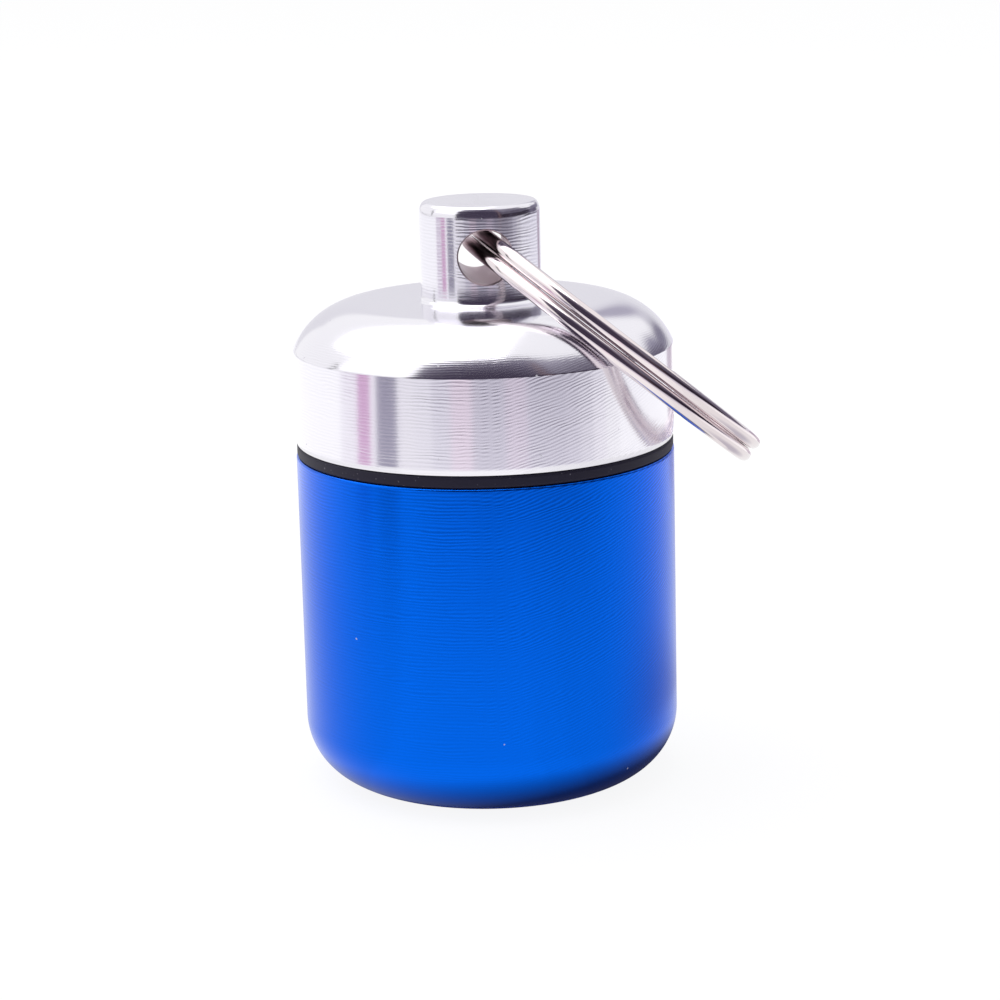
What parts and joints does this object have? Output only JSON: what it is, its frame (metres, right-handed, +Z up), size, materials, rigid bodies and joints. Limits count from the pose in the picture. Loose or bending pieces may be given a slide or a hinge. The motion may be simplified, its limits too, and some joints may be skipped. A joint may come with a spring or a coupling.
{
  "type": "pill holder",
  "caption": "Pocket pill holder: a turned aluminium cup with a domed screw cap, a rubber seal, and a split ring through the cap's drilled knob.",
  "frame": {"origin": "centre of the cup's flat base, on the axis of the cup and the cap", "axes": "+Z up along the cup's axis; +X to the side where the split ring leans on the cap; the picture looks along +Y"},
  "size_m": [0.0319, 0.0269, 0.0401],
  "materials": {
    "cup_blue_anodised": "blue anodised over fine turning, satin gloss",
    "cap_bright_aluminium": "bright turned, clear anodised",
    "seal_black_rubber": "moulded, satin",
    "ring_nickel_plate": "bright nickel plate on spring steel wire"
  },
  "bodies": {
    "cup": {"pill_cup": "cup_blue_anodised"},
    "seal": {"seal_ring": "seal_black_rubber"},
    "cap": {"screw_cap": "cap_bright_aluminium"},
    "ring": {"split_ring": "ring_nickel_plate"}
  },
  "joints": [
    {"name": "cap_turn", "type": "hinge", "parent": "cup", "child": "seal", "pos_m": [0, 0, 0.02347], "axis": [0, 0, 1], "range_deg": [0, 1440]},
    {"name": "cap_rise", "type": "slide", "parent": "seal", "child": "cap", "axis": [0, 0, 1], "range_m": [0, 0.004]},
    {"name": "ring_swing", "type": "hinge", "parent": "cap", "child": "ring", "pos_m": [0, 0, 0.03679], "axis": [0.0872, -0.9962, 0], "range_deg": [0, 240]}
  ],
  "couplings": [
    {"joint": "cap_rise", "follows": "cap_turn", "m_per_rad": 0.00015915}
  ]
}
